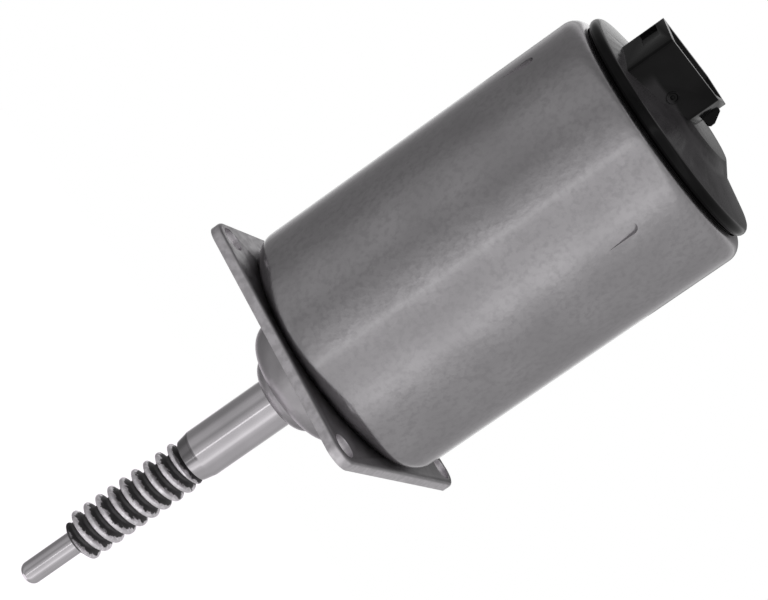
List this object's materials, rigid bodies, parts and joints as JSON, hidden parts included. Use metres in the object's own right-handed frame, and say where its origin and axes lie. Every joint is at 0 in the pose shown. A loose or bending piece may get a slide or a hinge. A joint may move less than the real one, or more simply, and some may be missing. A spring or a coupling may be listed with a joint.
{
  "type": "eccentric shaft actuator",
  "caption": "Flange-mounted motor in a drawn steel can with a worm ground on its shaft and a moulded rear cover with a plug socket; it turns an eccentric shaft.",
  "frame": {"origin": "on the motor axis, in the front face of the mounting flange, which seats on the engine", "axes": "+Z along the motor axis towards the socket, so the worm points down -Z; -Y through the middle ear of the flange"},
  "size_m": [0.0885, 0.0783, 0.1992],
  "materials": {
    "flange_steel": "satin",
    "can_steel": "satin",
    "seal_rubber": "matte",
    "pressed_steel": "satin",
    "bearing_steel": "polished",
    "cage_plastic": "matte",
    "ferrite": "matte",
    "ground_steel": "ground",
    "laminations": "satin",
    "slot_insulation": "satin",
    "copper": "satin",
    "moulding": "matte",
    "carrier_plastic": "matte",
    "brass_sheet": "satin",
    "carbon": "matte",
    "black_plastic": "gloss"
  },
  "bodies": {
    "housing": {"mounting_flange": "flange_steel", "motor_can": "can_steel", "shaft_seal": "seal_rubber", "bearing_retainer": "pressed_steel", "front_bearing_outer": "bearing_steel", "rear_bearing_outer": "bearing_steel", "wave_washer": "pressed_steel", "end_plate": "pressed_steel", "magnet_1": "ferrite", "magnet_2": "ferrite", "magnet_3": "ferrite", "magnet_4": "ferrite", "magnet_clips": "pressed_steel", "brush_plate": "carrier_plastic", "brush_guides": "brass_sheet", "carbon_brush_1": "carbon", "carbon_brush_2": "carbon", "carbon_brush_3": "carbon", "carbon_brush_4": "carbon", "brush_springs": "pressed_steel", "busbar_plus": "copper", "busbar_minus": "copper", "choke_cores": "ferrite", "choke_windings": "copper", "rear_cover": "black_plastic", "cover_seal": "seal_rubber", "terminal_blade_1": "brass_sheet", "terminal_blade_2": "brass_sheet"},
    "rotor": {"worm_shaft": "ground_steel", "shaft_circlip": "pressed_steel", "armature_core": "laminations", "front_insulator": "slot_insulation", "rear_insulator": "slot_insulation", "armature_winding": "copper", "commutator_hub": "moulding", "commutator_bars": "copper", "front_bearing_inner": "bearing_steel", "rear_bearing_inner": "bearing_steel"},
    "front_cage": {"front_bearing_balls": "bearing_steel", "front_bearing_cage": "cage_plastic"},
    "rear_cage": {"rear_bearing_balls": "bearing_steel", "rear_bearing_cage": "cage_plastic"}
  },
  "joints": [
    {"name": "rotor_spin", "type": "hinge", "parent": "housing", "child": "rotor", "pos_m": [0, 0, 0.041], "axis": [0, 0, 1], "continuous": true},
    {"name": "front_cage_spin", "type": "hinge", "parent": "housing", "child": "front_cage", "pos_m": [0, 0, -0.0025], "axis": [0, 0, 1], "continuous": true},
    {"name": "rear_cage_spin", "type": "hinge", "parent": "housing", "child": "rear_cage", "pos_m": [0, 0, 0.089], "axis": [0, 0, 1], "continuous": true}
  ],
  "couplings": [
    {"joint": "front_cage_spin", "follows": "rotor_spin", "ratio": 0.3816},
    {"joint": "rear_cage_spin", "follows": "rotor_spin", "ratio": 0.3677}
  ]
}
